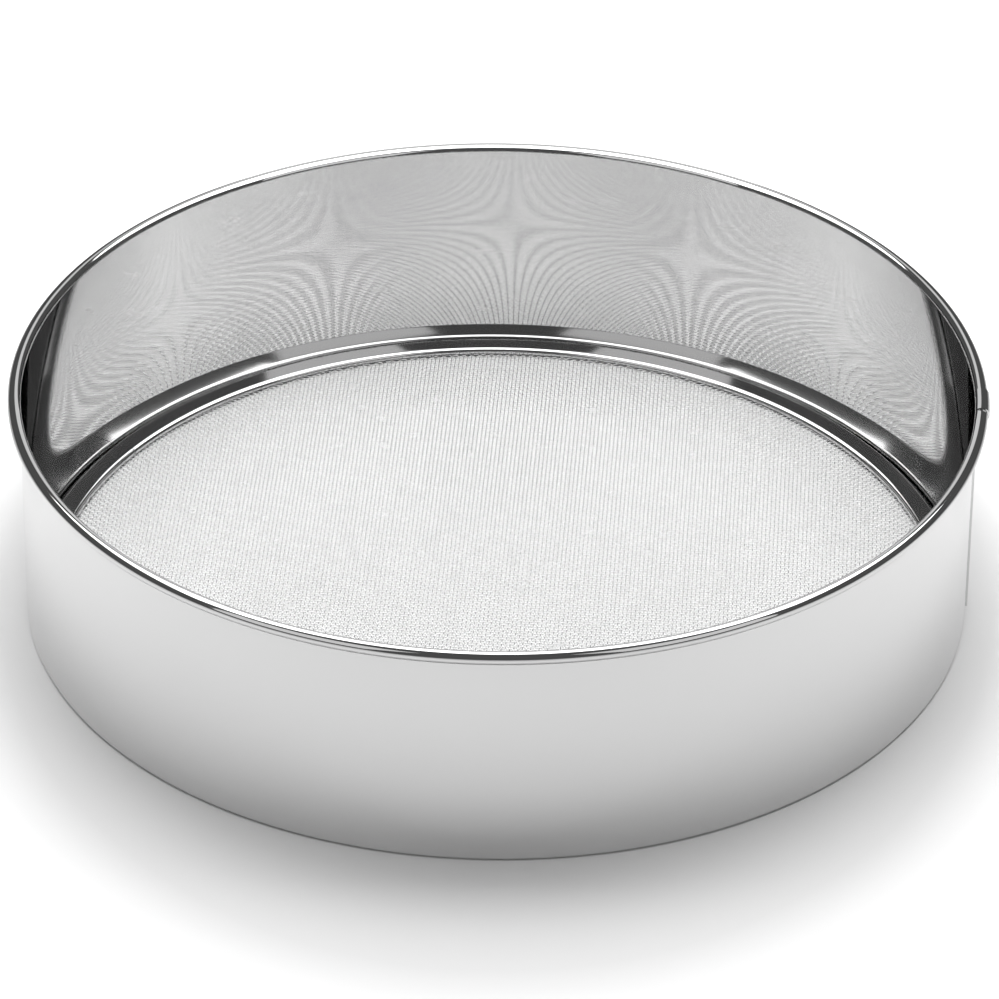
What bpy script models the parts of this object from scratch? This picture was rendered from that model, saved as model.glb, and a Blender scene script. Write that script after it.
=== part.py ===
"""A round sieve for soil and compost: a polished stainless steel hoop with a rolled, wired rim,
and a disc of woven wire cloth held flat at its foot by a pressed clamp ring.

The origin is on the floor at the middle of the hoop, +Z is up, and the hoop's seam is on the +X side."""

import math

import bmesh
import bpy

# Driving dimensions, in metres
OUTER_DIAMETER = 0.300
HEIGHT = 0.075
SHEET = 0.0005
CLEARANCE = 0.0003

# Rolled rim: the radius over the roll, and the wire inside it
ROLL_RADIUS = 0.00205
ROLL_END_DEG = -120.0
WIRE_RADIUS = 0.0012
WIRE_GAP_DEG = 1.0

# Foot of the hoop: the bend, and the flange that the wire cloth lies on
FOOT_BEND_RADIUS = 0.00125
FLANGE_WIDTH = 0.0084

# Wire cloth: two wires thick
CLOTH_THICKNESS = 0.0006

# Clamp ring: a low arch of sheet with its open side down, whose crown falls a little towards the wall
CLAMP_WIDTH = 0.00815
CLAMP_OUTER_HEIGHT = 0.0011
CLAMP_INNER_HEIGHT = 0.0016
CLAMP_SHOULDER_RADIUS = 0.0015
CLAMP_JOINT_DEG = 148.0
CLAMP_JOINT_GAP_DEG = 0.2

# Lap seam: where the strip's two ends overlap, one sheet thicker on the outside
LAP_START_DEG = -5.0
LAP_END_DEG = -0.5
LAP_EDGE_DEG = 0.1
LAP_FOOT = 0.0030
LAP_ROLL_START_DEG = 120.0
LAP_ROLL_END_DEG = -60.0

# Fineness of the turned shapes
TURN_SEGMENTS = 80
ROLL_STEP_DEG = 30.0
BEND_STEP_DEG = 30.0
CLAMP_STEP_DEG = 15.0
WIRE_SIDES = 8
SAME_PLACE = 1e-6

# Worked out from the above
ROLL_CENTRE_R = OUTER_DIAMETER / 2 - ROLL_RADIUS
ROLL_CENTRE_Z = HEIGHT - ROLL_RADIUS
WALL_R = ROLL_CENTRE_R - ROLL_RADIUS + SHEET / 2
WALL_INNER_R = WALL_R - SHEET / 2
CLOTH_Z = SHEET + CLEARANCE
CLOTH_R = WALL_INNER_R - FOOT_BEND_RADIUS
CLAMP_Z = CLOTH_Z + CLOTH_THICKNESS + CLEARANCE
CLAMP_OUTER_R = WALL_INNER_R - CLEARANCE


def clear_scene():
    for old in list(bpy.data.objects):
        bpy.data.objects.remove(old, do_unlink=True)


def metal(name, colour, roughness):
    """A bare metal surface."""
    material = bpy.data.materials.new(name)
    material.use_nodes = True
    shader = material.node_tree.nodes["Principled BSDF"]
    shader.inputs["Base Color"].default_value = (*colour, 1.0)
    shader.inputs["Metallic"].default_value = 1.0
    shader.inputs["Roughness"].default_value = roughness
    return material


def arc(centre, radius, start_deg, end_deg, step_deg):
    """Points in the (r, z) plane round a centre, both ends included."""
    steps = max(1, round(abs(end_deg - start_deg) / step_deg))
    angles = [math.radians(start_deg + (end_deg - start_deg) * i / steps) for i in range(steps + 1)]
    return [(centre[0] + radius * math.cos(a), centre[1] + radius * math.sin(a)) for a in angles]


def sheet_outline(path, extra_left=None, extra_right=None):
    """The closed outline of sheet whose middle follows a path in the (r, z) plane.

    extra_left and extra_right give, point by point, how much thicker the sheet is on each side."""
    extra_left = extra_left or [0.0] * len(path)
    extra_right = extra_right or [0.0] * len(path)
    left, right = [], []
    for i, (r, z) in enumerate(path):
        before = path[max(i - 1, 0)]
        after = path[min(i + 1, len(path) - 1)]
        along_in = direction(before, (r, z)) if i else direction((r, z), after)
        along_out = direction((r, z), after) if i < len(path) - 1 else along_in
        normal_in = (along_in[1], -along_in[0])
        normal_out = (along_out[1], -along_out[0])
        normal = direction((0.0, 0.0), (normal_in[0] + normal_out[0], normal_in[1] + normal_out[1]))
        mitre = 1.0 / (normal[0] * normal_in[0] + normal[1] * normal_in[1])
        to_left = mitre * (SHEET / 2 + extra_left[i])
        to_right = mitre * (SHEET / 2 + extra_right[i])
        left.append((r - normal[0] * to_left, z - normal[1] * to_left))
        right.append((r + normal[0] * to_right, z + normal[1] * to_right))
    return right + left[::-1]


def direction(start, end):
    dr, dz = end[0] - start[0], end[1] - start[1]
    length = math.hypot(dr, dz)
    return dr / length, dz / length


def turned(name, outlines, angles, closed):
    """A mesh object swept round +Z, with one outline in (r, z) for each angle in degrees."""
    mesh = bpy.data.meshes.new(name)
    shape = bmesh.new()
    rings = []
    for outline, angle in zip(outlines, angles):
        a = math.radians(angle)
        rings.append([shape.verts.new((r * math.cos(a), r * math.sin(a), z)) for r, z in outline])
    pairs = list(zip(rings, rings[1:]))
    if closed:
        pairs.append((rings[-1], rings[0]))
    for here, there in pairs:
        for i in range(len(here)):
            j = (i + 1) % len(here)
            shape.faces.new((here[i], here[j], there[j], there[i]))
    if not closed:
        shape.faces.new(rings[0])
        shape.faces.new(rings[-1])
    bmesh.ops.recalc_face_normals(shape, faces=shape.faces)
    shape.to_mesh(mesh)
    shape.free()
    return added(name, mesh)


def added(name, mesh):
    """The mesh as an object in the scene, shaded smooth but for its sharp edges."""
    mesh.shade_smooth()
    mesh.set_sharp_from_angle(angle=math.radians(35.0))
    thing = bpy.data.objects.new(name, mesh)
    bpy.context.scene.collection.objects.link(thing)
    return thing


def hoop_path(lap_foot, lap_head):
    """The middle of the hoop's sheet, from the flange's edge up the wall and round the roll."""
    bend_centre = (WALL_R - FOOT_BEND_RADIUS, SHEET / 2 + FOOT_BEND_RADIUS)
    flange = [(WALL_INNER_R - FLANGE_WIDTH, SHEET / 2)]
    bend = arc(bend_centre, FOOT_BEND_RADIUS, -90.0, 0.0, BEND_STEP_DEG)
    wall = [(WALL_R, lap_foot), (WALL_R, lap_foot + CLEARANCE)]
    wall += [(WALL_R, lap_head - CLEARANCE), (WALL_R, lap_head)]
    roll_radius = ROLL_RADIUS - SHEET / 2
    roll = arc((ROLL_CENTRE_R, ROLL_CENTRE_Z), roll_radius, 180.0, ROLL_END_DEG, ROLL_STEP_DEG)
    return flange + bend + wall + roll


def hoop_outlines():
    """The hoop's plain outline, and the one where the strip's ends overlap.

    On the wall the second sheet lies outside. In the roll it lies inside, which widens the roll."""
    lap_head = ROLL_CENTRE_Z - ROLL_RADIUS - SHEET
    path = hoop_path(LAP_FOOT, lap_head)
    on_wall, on_roll = [], []
    for r, z in path:
        angle = math.degrees(math.atan2(z - ROLL_CENTRE_Z, r - ROLL_CENTRE_R))
        between = LAP_FOOT + SAME_PLACE < z < lap_head - SAME_PLACE
        on_wall.append(SHEET if between and r > WALL_R - SAME_PLACE else 0.0)
        raised = LAP_ROLL_END_DEG - 1 < angle < LAP_ROLL_START_DEG + 1
        on_roll.append(SHEET if raised and z > lap_head else 0.0)
    return sheet_outline(path), sheet_outline(path, on_roll, on_wall)


def make_hoop(material):
    plain, lapped = hoop_outlines()
    steps = {360.0 * i / TURN_SEGMENTS - 180.0: plain for i in range(TURN_SEGMENTS)}
    steps = {a: o for a, o in steps.items() if not LAP_START_DEG <= a <= LAP_END_DEG}
    steps[LAP_START_DEG - LAP_EDGE_DEG] = plain
    steps[LAP_START_DEG] = lapped
    steps[(LAP_START_DEG + LAP_END_DEG) / 2] = lapped
    steps[LAP_END_DEG] = lapped
    steps[LAP_END_DEG + LAP_EDGE_DEG] = plain
    angles = sorted(steps)
    hoop = turned("hoop", [steps[a] for a in angles], angles, closed=True)
    hoop.data.materials.append(material)


def make_rim_wire(material):
    """The wire that the rim is rolled round, with a small gap between its ends behind the seam."""
    centre = (ROLL_CENTRE_R, ROLL_CENTRE_Z)
    outline = arc(centre, WIRE_RADIUS, 0.0, 360.0, 360.0 / WIRE_SIDES)[:-1]
    middle = (LAP_START_DEG + LAP_END_DEG) / 2
    turn = 360.0 - WIRE_GAP_DEG
    start = middle + WIRE_GAP_DEG / 2
    angles = [start + turn * i / TURN_SEGMENTS for i in range(TURN_SEGMENTS + 1)]
    wire = turned("rim_wire", [outline] * len(angles), angles, closed=False)
    wire.data.materials.append(material)


def make_wire_cloth(material):
    """The woven cloth as a plain disc, as thick as two crossing wires."""
    mesh = bpy.data.meshes.new("wire_cloth")
    shape = bmesh.new()
    bmesh.ops.create_cone(
        shape,
        cap_ends=True,
        segments=TURN_SEGMENTS,
        radius1=CLOTH_R,
        radius2=CLOTH_R,
        depth=CLOTH_THICKNESS,
    )
    shape.to_mesh(mesh)
    shape.free()
    cloth = added("wire_cloth", mesh)
    cloth.location.z = CLOTH_Z + CLOTH_THICKNESS / 2
    cloth.data.materials.append(material)


def clamp_path():
    """The middle of the clamp ring's sheet, from its foot by the wall over the crown to its foot on the cloth."""
    outer_r = CLAMP_OUTER_R - CLAMP_SHOULDER_RADIUS
    inner_r = CLAMP_OUTER_R - CLAMP_WIDTH + CLAMP_SHOULDER_RADIUS
    outer_z = CLAMP_Z + CLAMP_OUTER_HEIGHT - CLAMP_SHOULDER_RADIUS
    inner_z = CLAMP_Z + CLAMP_INNER_HEIGHT - CLAMP_SHOULDER_RADIUS
    bend = CLAMP_SHOULDER_RADIUS - SHEET / 2
    crown_deg = 90.0 - math.degrees(math.atan2(inner_z - outer_z, outer_r - inner_r))
    outer_foot_deg = math.degrees(math.asin((CLAMP_Z - outer_z) / (bend - SHEET / 2)))
    inner_foot_deg = math.degrees(math.asin((CLAMP_Z - inner_z) / (bend - SHEET / 2)))
    outer = arc((outer_r, outer_z), bend, outer_foot_deg, crown_deg, CLAMP_STEP_DEG)
    inner = arc((inner_r, inner_z), bend, crown_deg, 180.0 - inner_foot_deg, CLAMP_STEP_DEG)
    return outer + inner


def make_clamp_ring(material):
    outline = sheet_outline(clamp_path())
    turn = 360.0 - CLAMP_JOINT_GAP_DEG
    start = CLAMP_JOINT_DEG + CLAMP_JOINT_GAP_DEG / 2
    angles = [start + turn * i / TURN_SEGMENTS for i in range(TURN_SEGMENTS + 1)]
    ring = turned("clamp_ring", [outline] * len(angles), angles, closed=False)
    ring.data.materials.append(material)


def main():
    clear_scene()
    polished = metal("polished_steel", (0.78, 0.78, 0.79), 0.08)
    drawn = metal("drawn_wire", (0.66, 0.66, 0.67), 0.25)
    make_hoop(polished)
    make_rim_wire(drawn)
    make_wire_cloth(drawn)
    make_clamp_ring(polished)


main()
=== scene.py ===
"""The looks of a round soil sieve: a polished hoop with a rolled rim, a clamp ring and woven wire.

Everything is in metres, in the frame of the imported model: +Z up, and the origin on the floor under
the middle of the hoop."""

import math

import bpy
import numpy as np
from mathutils import Matrix, Vector


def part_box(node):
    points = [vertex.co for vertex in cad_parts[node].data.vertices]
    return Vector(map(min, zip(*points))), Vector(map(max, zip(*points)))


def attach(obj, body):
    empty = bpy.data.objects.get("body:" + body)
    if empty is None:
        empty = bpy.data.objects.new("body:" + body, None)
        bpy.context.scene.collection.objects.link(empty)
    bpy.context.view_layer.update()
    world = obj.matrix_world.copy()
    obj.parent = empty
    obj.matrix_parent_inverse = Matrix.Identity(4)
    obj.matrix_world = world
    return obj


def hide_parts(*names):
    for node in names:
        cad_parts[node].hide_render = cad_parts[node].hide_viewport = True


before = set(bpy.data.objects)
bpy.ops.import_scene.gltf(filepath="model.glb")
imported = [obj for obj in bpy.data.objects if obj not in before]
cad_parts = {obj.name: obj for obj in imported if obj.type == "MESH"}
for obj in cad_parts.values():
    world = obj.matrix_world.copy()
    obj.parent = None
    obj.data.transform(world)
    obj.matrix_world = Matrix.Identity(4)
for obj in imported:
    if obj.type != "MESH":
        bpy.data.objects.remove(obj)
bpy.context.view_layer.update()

# ------------------------------------------------------------ sizes, from the frame where it has them
hoop_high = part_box("hoop")[1]
cloth_low, cloth_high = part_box("wire_cloth")
clamp_low, clamp_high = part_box("clamp_ring")
wire_low, wire_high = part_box("rim_wire")

# the hoop: one strip of sheet with a rolled rim, a foot bend and a flange under the cloth
SHEET = 0.0005
ROLL_RADIUS = 0.00205
OUTER_R = hoop_high.y  # the lap's second thickness is at +X, and on top
ROLL_CENTRE_R = OUTER_R - ROLL_RADIUS
HEIGHT = hoop_high.z - SHEET
ROLL_CENTRE_Z = HEIGHT - ROLL_RADIUS
WALL_R = ROLL_CENTRE_R - ROLL_RADIUS + SHEET / 2
WALL_INNER_R = WALL_R - SHEET / 2
FLANGE_WIDTH = 0.0084
FLANGE_INNER_R = WALL_INNER_R - FLANGE_WIDTH
FOOT_BEND_RADIUS = 0.00125
ROLL_END_DEG = -120.0

# the lap seam, where the strip's two ends overlap
LAP_START_DEG = -5.0
LAP_END_DEG = -0.5
LAP_FOOT = 0.0030
LAP_ROLL_START_DEG = 120.0
LAP_ROLL_END_DEG = -60.0

# the clamp ring over the edge of the cloth
CLAMP_OUTER_R = clamp_high.x
CLAMP_WIDTH = 0.00815
CLAMP_SHOULDER_RADIUS = 0.0015
CLAMP_OUTER_TOP = 0.0028
CLAMP_INNER_TOP = 0.0033
CLAMP_JOINT_DEG = 148.0
CLAMP_JOINT_GAP_DEG = 0.14

# the woven cloth: WIRE_FLAT, half the flat of a crossing, and WIRE_JITTER are parts of the pitch
CLOTH_EDGE_MARGIN = 0.001
CLOTH_R = cloth_high.x - CLOTH_EDGE_MARGIN
CLOTH_MIDDLE_Z = (cloth_low.z + cloth_high.z) / 2
CLOTH_PITCH = 0.00130
CLOTH_WIRE_RADIUS = (cloth_high.z - cloth_low.z) / 4
CLOTH_TURN_DEG = -3.4
CLOTH_BANDS = 5
WIRE_SIDES = 6
WIRE_FLAT = 0.26
WIRE_JITTER = 0.008
WIRE_WANDER = 0.00003

# the surfaces: each DULL is added to the roughness, and each DARKER is a part of the grey
WELD_COUNT = 5
WELD_RADIUS = 0.0017
SHEET_WAVES = 0.00004
POLISHING_LINES = (30.0, 30.0, 2600.0)
POLISHING_DULL = 0.012
WIPING_DULL = 0.035
WELD_DULL = 0.10
WELD_HOLLOW = 0.35
DRAWING_DULL = 0.08
SHEET_DARKER = 0.94
WIRE_DARKER = 0.90

# the fineness of the meshes
HOOP_SEGMENTS = 480
RIM_WIRE_SEGMENTS = 240
WALL_ROWS = 24
FINE_STEP_DEG = 7.5
SHARP_DEG = 40.0
CREASE = 0.00005
LAP_CREASE_DEG = 0.02
CUT_BULGE = 0.35
SEED = 11

# the studio
FLOOR_WHITE = 0.86
# painted shade: the grey of the floor behind the sieve, which the metal reflects
FLOOR_PAINTED_SHADE_BEHIND = 0.50
# painted light: how strongly the floor glows to the camera over its painted grey behind the sieve
FLOOR_PAINTED_LIGHT_BEHIND = 0.55
FLOOR_REACH = 12.0

CAMERA_DISTANCE = 2.0
CAMERA_ELEVATION_DEG = 32.65
CAMERA_ROLL_DEG = 0.6
CAMERA_FOCAL_MM = 232.6
CAMERA_AIM = Vector((0.0008, 0.0, 0.0323))


# ------------------------------------------------------------ meshes
def arc(centre, radius, start_deg, end_deg, step_deg=FINE_STEP_DEG):
    """Points in the (r, z) plane round a centre, both ends included."""
    steps = max(1, round(abs(end_deg - start_deg) / step_deg))
    angles = [math.radians(start_deg + (end_deg - start_deg) * i / steps) for i in range(steps + 1)]
    return [(centre[0] + radius * math.cos(a), centre[1] + radius * math.sin(a)) for a in angles]


def direction(start, end):
    """The unit vector from start to end."""
    dr, dz = end[0] - start[0], end[1] - start[1]
    length = math.hypot(dr, dz)
    return dr / length, dz / length


def sheet_outline(path, extra_left=None, extra_right=None):
    """The closed outline, with rounded cut edges, of sheet along a path in the (r, z) plane."""
    extra_left = extra_left or [0.0] * len(path)
    extra_right = extra_right or [0.0] * len(path)
    left, right = [], []
    for i, (r, z) in enumerate(path):
        before = path[max(i - 1, 0)]
        after = path[min(i + 1, len(path) - 1)]
        along_in = direction(before, (r, z)) if i else direction((r, z), after)
        along_out = direction((r, z), after) if i < len(path) - 1 else along_in
        normal_in = (along_in[1], -along_in[0])
        normal_out = (along_out[1], -along_out[0])
        normal = direction((0.0, 0.0), (normal_in[0] + normal_out[0], normal_in[1] + normal_out[1]))
        mitre = 1.0 / (normal[0] * normal_in[0] + normal[1] * normal_in[1])
        to_left = mitre * (SHEET / 2 + extra_left[i])
        to_right = mitre * (SHEET / 2 + extra_right[i])
        left.append((r - normal[0] * to_left, z - normal[1] * to_left))
        right.append((r + normal[0] * to_right, z + normal[1] * to_right))
    return right + rounded_end(right[-1], left[-1]) + left[::-1] + rounded_end(left[0], right[0])


def rounded_end(start, end):
    """Points that round the cut edge of the sheet between its two faces."""
    middle = ((start[0] + end[0]) / 2, (start[1] + end[1]) / 2)
    across = (start[0] - middle[0], start[1] - middle[1])
    outward = (-across[1], across[0])
    points = []
    for angle in (45.0, 90.0, 135.0):
        c, s = math.cos(math.radians(angle)), math.sin(math.radians(angle)) * CUT_BULGE
        r = middle[0] + across[0] * c + outward[0] * s
        z = middle[1] + across[1] * c + outward[1] * s
        points.append((r, z))
    return points


def turned(name, outlines, angles, closed):
    """A smooth mesh object swept round +Z, with one outline in (r, z) for each angle in degrees."""
    count = len(outlines[0])
    around = np.radians(np.array(angles))[:, None]
    outline = np.array(outlines)
    points = np.stack(
        [outline[:, :, 0] * np.cos(around), outline[:, :, 0] * np.sin(around), outline[:, :, 1]], axis=2
    ).reshape(-1, 3)
    faces = []
    last = len(angles) if closed else len(angles) - 1
    for a in range(last):
        b = (a + 1) % len(angles)
        for i in range(count):
            j = (i + 1) % count
            faces.append((a * count + i, b * count + i, b * count + j, a * count + j))
    if not closed:
        faces.append(tuple(range(count)))
        faces.append(tuple((len(angles) - 1) * count + i for i in reversed(range(count))))
    mesh = bpy.data.meshes.new(name)
    mesh.from_pydata(points.tolist(), [], faces)
    mesh.validate()
    mesh.shade_smooth()
    mesh.set_sharp_from_angle(angle=math.radians(SHARP_DEG))
    return placed(name, mesh)


def placed(name, data):
    """A new object that holds this mesh, lamp or camera, in the scene."""
    thing = bpy.data.objects.new(name, data)
    bpy.context.scene.collection.objects.link(thing)
    return thing


def hoop_path(lap_head):
    """The middle of the hoop's sheet, from the flange's edge up the wall and round the roll."""
    bend_centre = (WALL_R - FOOT_BEND_RADIUS, SHEET / 2 + FOOT_BEND_RADIUS)
    flange = [(FLANGE_INNER_R, SHEET / 2), (bend_centre[0] - 0.0001, SHEET / 2)]
    bend = arc(bend_centre, FOOT_BEND_RADIUS, -90.0, 0.0)
    wall = [(WALL_R, bend_centre[1] + CREASE), (WALL_R, LAP_FOOT), (WALL_R, LAP_FOOT + CREASE)]
    for i in range(1, WALL_ROWS):
        wall.append((WALL_R, LAP_FOOT + (lap_head - LAP_FOOT) * i / WALL_ROWS))
    wall += [(WALL_R, lap_head - CREASE), (WALL_R, lap_head), (WALL_R, ROLL_CENTRE_Z - CREASE)]
    roll_radius = ROLL_RADIUS - SHEET / 2
    roll = arc((ROLL_CENTRE_R, ROLL_CENTRE_Z), roll_radius, 180.0, ROLL_END_DEG)
    return flange + bend + wall + roll


def make_hoop():
    """The hoop, with a second thickness of sheet on the outside of the wall and roll over the lap."""
    lap_head = ROLL_CENTRE_Z - ROLL_RADIUS - SHEET
    path = hoop_path(lap_head)
    on_wall, on_roll = [], []
    for r, z in path:
        angle = math.degrees(math.atan2(z - ROLL_CENTRE_Z, r - ROLL_CENTRE_R))
        between = LAP_FOOT + 1e-6 < z < lap_head - 1e-6
        on_wall.append(SHEET if between and r > WALL_R - 1e-6 else 0.0)
        raised = LAP_ROLL_END_DEG - 1 < angle < LAP_ROLL_START_DEG + 1
        on_roll.append(SHEET if raised and z > lap_head else 0.0)
    plain = sheet_outline(path)
    lapped = sheet_outline(path, on_roll, on_wall)
    steps = {360.0 * i / HOOP_SEGMENTS - 180.0: plain for i in range(HOOP_SEGMENTS)}
    inside = [a for a in steps if LAP_START_DEG < a < LAP_END_DEG]
    for a in inside:
        steps[a] = lapped
    for i in (1, 2):
        steps[LAP_START_DEG - i * LAP_CREASE_DEG] = plain
        steps[LAP_END_DEG + i * LAP_CREASE_DEG] = plain
    for i in (0, 1):
        steps[LAP_START_DEG + i * LAP_CREASE_DEG] = lapped
        steps[LAP_END_DEG - i * LAP_CREASE_DEG] = lapped
    angles = sorted(steps)
    return turned("hoop_polished", [steps[a] for a in angles], angles, closed=True)


def clamp_path():
    """The middle of the clamp ring's sheet: a low arch whose crown falls a little towards the wall."""
    outer_r = CLAMP_OUTER_R - CLAMP_SHOULDER_RADIUS
    inner_r = CLAMP_OUTER_R - CLAMP_WIDTH + CLAMP_SHOULDER_RADIUS
    outer_z = CLAMP_OUTER_TOP - CLAMP_SHOULDER_RADIUS
    inner_z = CLAMP_INNER_TOP - CLAMP_SHOULDER_RADIUS
    bend = CLAMP_SHOULDER_RADIUS - SHEET / 2
    crown_deg = 90.0 - math.degrees(math.atan2(inner_z - outer_z, outer_r - inner_r))
    outer_foot_deg = math.degrees(math.asin((clamp_low.z - outer_z) / (bend - SHEET / 2)))
    inner_foot_deg = math.degrees(math.asin((clamp_low.z - inner_z) / (bend - SHEET / 2)))
    outer = arc((outer_r, outer_z), bend, outer_foot_deg, crown_deg)
    inner = arc((inner_r, inner_z), bend, crown_deg, 180.0 - inner_foot_deg)
    return outer + inner


def make_clamp_ring():
    """The clamp ring, with the narrow gap of its joint."""
    outline = sheet_outline(clamp_path())
    turn = 360.0 - CLAMP_JOINT_GAP_DEG
    start = CLAMP_JOINT_DEG + CLAMP_JOINT_GAP_DEG / 2
    angles = [start + turn * i / HOOP_SEGMENTS for i in range(HOOP_SEGMENTS + 1)]
    return turned("clamp_ring_polished", [outline] * len(angles), angles, closed=False)


def make_rim_wire():
    """The wire inside the roll, with a gap of one degree between its ends."""
    radius = (wire_high.z - wire_low.z) / 2
    centre = (ROLL_CENTRE_R, ROLL_CENTRE_Z)
    outline = arc(centre, radius, 0.0, 360.0, 30.0)[:-1]
    middle = (LAP_START_DEG + LAP_END_DEG) / 2
    steps = RIM_WIRE_SEGMENTS
    angles = [middle + 0.5 + 359.0 * i / steps for i in range(steps + 1)]
    return turned("rim_wire_drawn", [outline] * len(angles), angles, closed=False)


def woven_wires(name, across_is_x, first, last, offsets, drift):
    """One band of parallel wires of the weave, each a closed tube that goes over and under the others.

    offsets holds each wire's place across the band. drift is a smooth sideways wander along the wires."""
    ring = np.radians(np.arange(WIRE_SIDES) * 360.0 / WIRE_SIDES + 30.0)
    points, faces, total = [], [], 0
    for i in range(first, last):
        place = offsets[i]
        half = math.sqrt(max(CLOTH_R**2 - place**2, 0.0))
        crossings = int(half / CLOTH_PITCH)
        if crossings < 1:
            continue
        k = np.arange(-crossings, crossings + 1)
        along = np.stack([(k - WIRE_FLAT) * CLOTH_PITCH, (k + WIRE_FLAT) * CLOTH_PITCH], axis=1)
        along = along.reshape(-1)
        up = np.repeat(np.where((k + i) % 2 == 0, 1.0, -1.0), 2)
        up = up if across_is_x else -up
        height = CLOTH_MIDDLE_Z + up * CLOTH_WIRE_RADIUS
        sideways = place + drift(along, place)
        slope = np.gradient(height, along)
        tilt = np.arctan(slope)
        c, s = np.cos(ring) * CLOTH_WIRE_RADIUS, np.sin(ring) * CLOTH_WIRE_RADIUS
        wire_along = along[:, None] - s[None, :] * np.sin(tilt)[:, None]
        wire_side = sideways[:, None] + np.repeat(c[None, :], len(along), axis=0)
        wire_up = height[:, None] + s[None, :] * np.cos(tilt)[:, None]
        x, y = (wire_side, wire_along) if across_is_x else (wire_along, wire_side)
        points.append(np.stack([x, y, wire_up], axis=2).reshape(-1, 3))
        quads = tube_faces(len(along), total)
        faces.append(quads[:, ::-1] if across_is_x else quads)
        total += len(along) * WIRE_SIDES
    return tube_mesh(name, np.concatenate(points), np.concatenate(faces))


def tube_faces(rows, first):
    """The four-sided faces of a closed six-sided tube whose points are numbered from first."""
    ring = np.arange(WIRE_SIDES)[None, :]
    row = first + np.arange(rows - 1)[:, None] * WIRE_SIDES
    a, b = row + ring, row + (ring + 1) % WIRE_SIDES
    sides = np.stack([a, b, b + WIRE_SIDES, a + WIRE_SIDES], axis=2).reshape(-1, 4)
    start_cap = np.array([[0, 5, 4, 3], [0, 3, 2, 1]]) + first
    end_cap = np.array([[0, 1, 2, 3], [0, 3, 4, 5]]) + first + (rows - 1) * WIRE_SIDES
    return np.concatenate([sides, start_cap, end_cap])


def tube_mesh(name, points, quads):
    """A smooth mesh object of four-sided faces, turned with the cloth."""
    turn = math.radians(CLOTH_TURN_DEG)
    x = points[:, 0] * math.cos(turn) - points[:, 1] * math.sin(turn)
    y = points[:, 0] * math.sin(turn) + points[:, 1] * math.cos(turn)
    points = np.stack([x, y, points[:, 2]], axis=1)
    mesh = bpy.data.meshes.new(name)
    mesh.vertices.add(len(points))
    mesh.vertices.foreach_set("co", points.astype(np.float32).ravel())
    mesh.loops.add(len(quads) * 4)
    mesh.loops.foreach_set("vertex_index", quads.astype(np.int32).ravel())
    mesh.polygons.add(len(quads))
    mesh.polygons.foreach_set("loop_start", np.arange(len(quads), dtype=np.int32) * 4)
    mesh.update(calc_edges=True)
    mesh.shade_smooth()
    return placed(name, mesh)


def make_cloth():
    """The plain weave, in bands of wires along the cloth and across it."""
    random = np.random.default_rng(SEED)
    count = int(CLOTH_R / CLOTH_PITCH)
    wires = []
    for name, across_is_x in (("warp", True), ("weft", False)):
        number = np.arange(-count, count + 1)
        uneven = random.normal(0.0, WIRE_JITTER, len(number)) * CLOTH_PITCH
        offsets = number * CLOTH_PITCH + uneven
        phase = random.uniform(0, 2 * math.pi, 2)

        def drift(along, place, phase=phase):
            return WIRE_WANDER * np.sin(along / 0.041 + phase[0]) * np.sin(place / 0.057 + phase[1])

        edges = band_edges(offsets)
        for band, (first, last) in enumerate(zip(edges, edges[1:]), start=1):
            wires.append(woven_wires(f"{name}_wires_{band}", across_is_x, first, last, offsets, drift))
    return wires


def band_edges(offsets):
    """Where to split the wires into bands that hold about the same length of wire."""
    lengths = np.sqrt(np.maximum(CLOTH_R**2 - offsets**2, 0.0))
    share = np.cumsum(lengths) / lengths.sum()
    inner = [int(np.searchsorted(share, b / CLOTH_BANDS)) for b in range(1, CLOTH_BANDS)]
    return [0] + inner + [len(offsets)]


# ------------------------------------------------------------ materials
def new_material(name):
    """A material, its nodes and links, and its shader."""
    material = bpy.data.materials.new(name)
    material.use_nodes = True
    nodes, links = material.node_tree.nodes, material.node_tree.links
    return material, nodes, links, nodes["Principled BSDF"]


def ramp(nodes, links, source, low, high, out_low, out_high):
    """A value that goes from out_low to out_high as its source goes from low to high."""
    node = nodes.new("ShaderNodeMapRange")
    node.inputs["From Min"].default_value = low
    node.inputs["From Max"].default_value = high
    node.inputs["To Min"].default_value = out_low
    node.inputs["To Max"].default_value = out_high
    links.new(source, node.inputs["Value"])
    return node.outputs["Result"]


def noise(nodes, links, coords, scale, detail, roughness=0.5):
    """A soft cloudy pattern between 0 and 1."""
    node = nodes.new("ShaderNodeTexNoise")
    node.inputs["Scale"].default_value = scale
    node.inputs["Detail"].default_value = detail
    node.inputs["Roughness"].default_value = roughness
    links.new(coords, node.inputs["Vector"])
    return node.outputs["Fac"]


def stretched(nodes, links, coords, scale):
    """Coordinates times a scale for each axis."""
    node = nodes.new("ShaderNodeVectorMath")
    node.operation = "MULTIPLY"
    node.inputs[1].default_value = scale
    links.new(coords, node.inputs[0])
    return node.outputs["Vector"]


def length_of(nodes, links, vector):
    """How far a place is from the origin."""
    node = nodes.new("ShaderNodeVectorMath")
    node.operation = "LENGTH"
    links.new(vector, node.inputs[0])
    return node.outputs["Value"]


def combined(nodes, links, operation, first, second):
    """Two values joined by a sum, a product or another operation."""
    node = nodes.new("ShaderNodeMath")
    node.operation = operation
    links.new(first, node.inputs[0])
    links.new(second, node.inputs[1])
    return node.outputs["Value"]


def grey_between(nodes, links, factor, first, second):
    """A grey that goes from the first value to the second with the factor."""
    node = nodes.new("ShaderNodeMix")
    node.data_type = "RGBA"
    node.inputs["A"].default_value = (first, first, first, 1.0)
    node.inputs["B"].default_value = (second, second, second, 1.0)
    links.new(factor, node.inputs["Factor"])
    return node.outputs["Result"]


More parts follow.
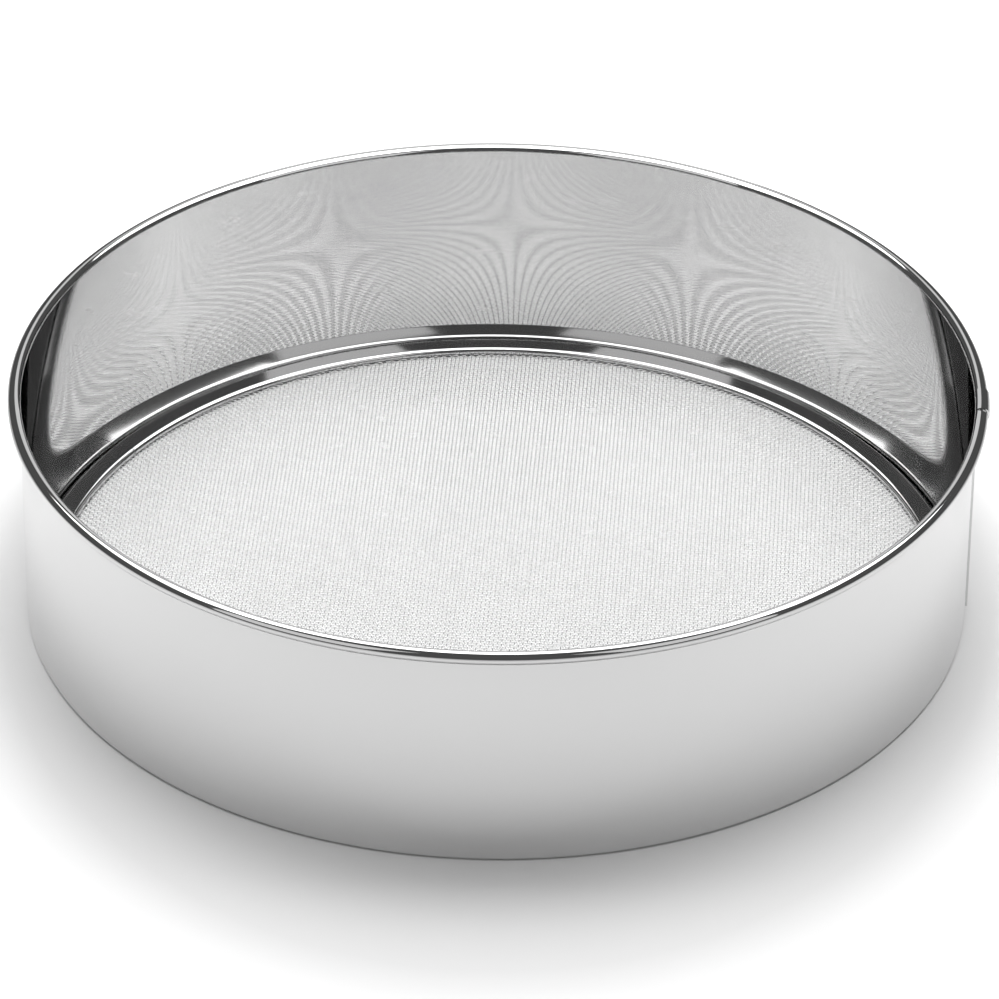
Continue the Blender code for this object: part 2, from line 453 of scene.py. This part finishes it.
def weld_spots(nodes, links, coords):
    """1 on the marks of the spot welds down the middle of the lap, 0 elsewhere."""
    middle = math.radians((LAP_START_DEG + LAP_END_DEG) / 2)
    radius = WALL_R + SHEET
    wall_height = ROLL_CENTRE_Z - ROLL_RADIUS - LAP_FOOT
    marks = None
    for i in range(WELD_COUNT):
        height = LAP_FOOT + wall_height * (i + 0.5) / WELD_COUNT
        away = nodes.new("ShaderNodeVectorMath")
        away.operation = "DISTANCE"
        away.inputs[1].default_value = (radius * math.cos(middle), radius * math.sin(middle), height)
        links.new(coords, away.inputs[0])
        mark = ramp(nodes, links, away.outputs["Value"], WELD_RADIUS * 0.7, WELD_RADIUS, 1.0, 0.0)
        marks = combined(nodes, links, "MAXIMUM", marks, mark) if marks else mark
    return marks


def polished_steel(name, grey, rough, welded=False):
    """Mirror polished sheet: slow waves, wiping marks, faint polishing lines, and weld marks if welded."""
    material, nodes, links, shader = new_material(name)
    coords = nodes.new("ShaderNodeTexCoord").outputs["Object"]
    shader.inputs["Metallic"].default_value = 1.0
    smudges = noise(nodes, links, coords, 28.0, 4.0, 0.6)
    fine = noise(nodes, links, stretched(nodes, links, coords, POLISHING_LINES), 1.0, 2.0)
    streaks = ramp(nodes, links, fine, 0.55, 0.80, 0.0, POLISHING_DULL)
    wiped = ramp(nodes, links, smudges, 0.60, 0.78, rough, rough + WIPING_DULL)
    dulled = combined(nodes, links, "ADD", wiped, streaks)
    waves = noise(nodes, links, coords, 14.0, 1.0)
    if welded:
        marks = weld_spots(nodes, links, coords)
        dull = ramp(nodes, links, marks, 0.0, 1.0, 0.0, WELD_DULL)
        hollow = ramp(nodes, links, marks, 0.0, 1.0, 0.0, WELD_HOLLOW)
        dulled = combined(nodes, links, "ADD", dulled, dull)
        waves = combined(nodes, links, "SUBTRACT", waves, hollow)
    links.new(dulled, shader.inputs["Roughness"])
    bump = nodes.new("ShaderNodeBump")
    bump.inputs["Strength"].default_value = 1.0
    bump.inputs["Distance"].default_value = SHEET_WAVES
    links.new(waves, bump.inputs["Height"])
    links.new(bump.outputs["Normal"], shader.inputs["Normal"])
    clouds = noise(nodes, links, coords, 9.0, 3.0)
    links.new(grey_between(nodes, links, clouds, grey, grey * SHEET_DARKER), shader.inputs["Base Color"])
    return material


def drawn_wire(name, grey, rough):
    """Drawn steel wire, unevenly dull along its length."""
    material, nodes, links, shader = new_material(name)
    coords = nodes.new("ShaderNodeTexCoord").outputs["Object"]
    shader.inputs["Metallic"].default_value = 1.0
    mottle = noise(nodes, links, coords, 180.0, 3.0)
    dulled = ramp(nodes, links, mottle, 0.3, 0.7, rough, rough + DRAWING_DULL)
    links.new(dulled, shader.inputs["Roughness"])
    links.new(grey_between(nodes, links, mottle, grey, grey * WIRE_DARKER), shader.inputs["Base Color"])
    return material


def floor_material():
    """Matt white, with painted shade and painted light: the floor is painted grey behind the sieve, under
    the lamp, and it glows to the camera further out, though it is no lamp.

    Where the camera looks at the painted grey, the painted glow makes up for it, so the painted shade
    darkens only the reflections."""
    material, nodes, links, shader = new_material("floor_white_painted_light_and_shade")
    shader.inputs["Roughness"].default_value = 0.9
    shader.inputs["Specular IOR Level"].default_value = 0.1
    shader.inputs["Emission Color"].default_value = (1.0, 1.0, 1.0, 1.0)
    place = nodes.new("ShaderNodeNewGeometry").outputs["Position"]
    distance = length_of(nodes, links, place)
    parts = nodes.new("ShaderNodeSeparateXYZ")
    links.new(place, parts.inputs[0])
    # painted shade: the floor behind the sieve and outside the hoop is painted grey, dark in the metal's
    # reflections
    back_half = ramp(nodes, links, parts.outputs["Y"], 0.02, 0.14, 0.0, 1.0)
    outside = ramp(nodes, links, distance, 0.155, 0.20, 0.0, 1.0)
    behind = combined(nodes, links, "MULTIPLY", back_half, outside)
    white_with_painted_shade = grey_between(nodes, links, behind, FLOOR_WHITE, FLOOR_PAINTED_SHADE_BEHIND)
    links.new(white_with_painted_shade, shader.inputs["Base Color"])
    # painted light: the floor glows to the camera, more further out and over the grey behind the sieve,
    # though it is no lamp
    far = length_of(nodes, links, stretched(nodes, links, place, (1.3, 1.0, 1.0)))
    painted_light_far = ramp(nodes, links, far, 0.200, 0.378, 0.0, 1.0)
    painted_light_behind = ramp(nodes, links, behind, 0.0, 1.0, 0.0, FLOOR_PAINTED_LIGHT_BEHIND)
    glow = combined(nodes, links, "ADD", painted_light_far, painted_light_behind)
    seen = nodes.new("ShaderNodeLightPath").outputs["Is Camera Ray"]
    links.new(combined(nodes, links, "MULTIPLY", glow, seen), shader.inputs["Emission Strength"])
    return material


# ------------------------------------------------------------ the object
def dress(piece, node, material):
    """Give a piece its material, hang it on the root body, and hide the CAD node it stands for."""
    piece.data.materials.append(material)
    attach(piece, "root")
    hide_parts(node)


def build_sieve():
    """All the pieces, each in the place of its CAD node."""
    sheet = polished_steel("polished_sheet", grey=0.72, rough=0.048, welded=True)
    ring = polished_steel("clamp_sheet", grey=0.70, rough=0.11)
    wire = drawn_wire("cloth_wire", grey=0.80, rough=0.20)
    rod = drawn_wire("rim_rod", grey=0.55, rough=0.30)
    dress(make_hoop(), "hoop", sheet)
    dress(make_clamp_ring(), "clamp_ring", ring)
    dress(make_rim_wire(), "rim_wire", rod)
    for band in make_cloth():
        dress(band, "wire_cloth", wire)


# ------------------------------------------------------------ the studio
def make_floor():
    """A plain floor that reaches past the view."""
    mesh = bpy.data.meshes.new("floor")
    corners = [(x * FLOOR_REACH, y * FLOOR_REACH, 0.0) for x, y in ((-1, -1), (1, -1), (1, 1), (-1, 1))]
    mesh.from_pydata(corners, [], [(0, 1, 2, 3)])
    floor = placed("floor", mesh)
    floor.data.materials.append(floor_material())


def panel(name, size, place, aim, power, seen_in_metal=True):
    """A soft rectangular lamp that faces aim."""
    light = bpy.data.lights.new(name, "AREA")
    light.shape = "RECTANGLE"
    light.size, light.size_y = size
    light.energy = power
    lamp = placed(name, light)
    lamp.location = place
    lamp.rotation_euler = (Vector(aim) - Vector(place)).to_track_quat("-Z", "Y").to_euler()
    lamp.visible_glossy = seen_in_metal
    lamp.visible_camera = False


def light_studio():
    """A lamp overhead, a dim board behind, two boxes in front, and a high lamp unseen in the metal."""
    centre = (0.0, 0.0, 0.0)
    panel("overhead", size=(0.90, 0.52), place=(0.0, 0.16, 0.53), aim=(0.0, 0.16, 0.0), power=4.7)
    panel("backboard", size=(0.28, 0.60), place=(0.0, 0.60, 0.30), aim=(0.0, 0.0, 0.30), power=0.36)
    for side in (-1, 1):
        place = (side * 0.686, -0.736, 0.654)
        panel("front_box", size=(0.73, 0.80), place=place, aim=centre, power=1.28)
    panel("sky", size=(1.6, 1.6), place=(0.0, 0.0, 2.2), aim=centre, power=17.5, seen_in_metal=False)


def make_world():
    """Dark to reflections, and plain white behind the floor's far edge."""
    world = bpy.data.worlds.new("studio")
    world.use_nodes = True
    bpy.context.scene.world = world
    nodes, links = world.node_tree.nodes, world.node_tree.links
    dark = nodes["Background"]
    dark.inputs["Color"].default_value = (0.09, 0.09, 0.09, 1.0)
    white = nodes.new("ShaderNodeBackground")
    white.inputs["Color"].default_value = (1.0, 1.0, 1.0, 1.0)
    mix = nodes.new("ShaderNodeMixShader")
    path = nodes.new("ShaderNodeLightPath")
    links.new(path.outputs["Is Camera Ray"], mix.inputs[0])
    links.new(dark.outputs[0], mix.inputs[1])
    links.new(white.outputs[0], mix.inputs[2])
    links.new(mix.outputs[0], nodes["World Output"].inputs["Surface"])


def make_camera():
    """The camera stands in front of the sieve, a long way off, and looks down at it."""
    elevation = math.radians(CAMERA_ELEVATION_DEG)
    ahead = Vector((0.0, math.cos(elevation), -math.sin(elevation)))
    right = Vector((1.0, 0.0, 0.0))
    up = right.cross(ahead)
    roll = math.radians(CAMERA_ROLL_DEG)
    right_rolled = right * math.cos(roll) + up * math.sin(roll)
    up_rolled = up * math.cos(roll) - right * math.sin(roll)
    data = bpy.data.cameras.new("camera")
    data.lens = CAMERA_FOCAL_MM
    data.sensor_width = 36.0
    camera = placed("camera", data)
    place = CAMERA_AIM - ahead * CAMERA_DISTANCE
    camera.matrix_world = Matrix(
        (
            (right_rolled.x, up_rolled.x, -ahead.x, place.x),
            (right_rolled.y, up_rolled.y, -ahead.y, place.y),
            (right_rolled.z, up_rolled.z, -ahead.z, place.z),
            (0.0, 0.0, 0.0, 1.0),
        )
    )
    bpy.context.scene.camera = camera


build_sieve()
make_floor()
light_studio()
make_world()
make_camera()
bpy.context.scene.view_settings.view_transform = "Standard"
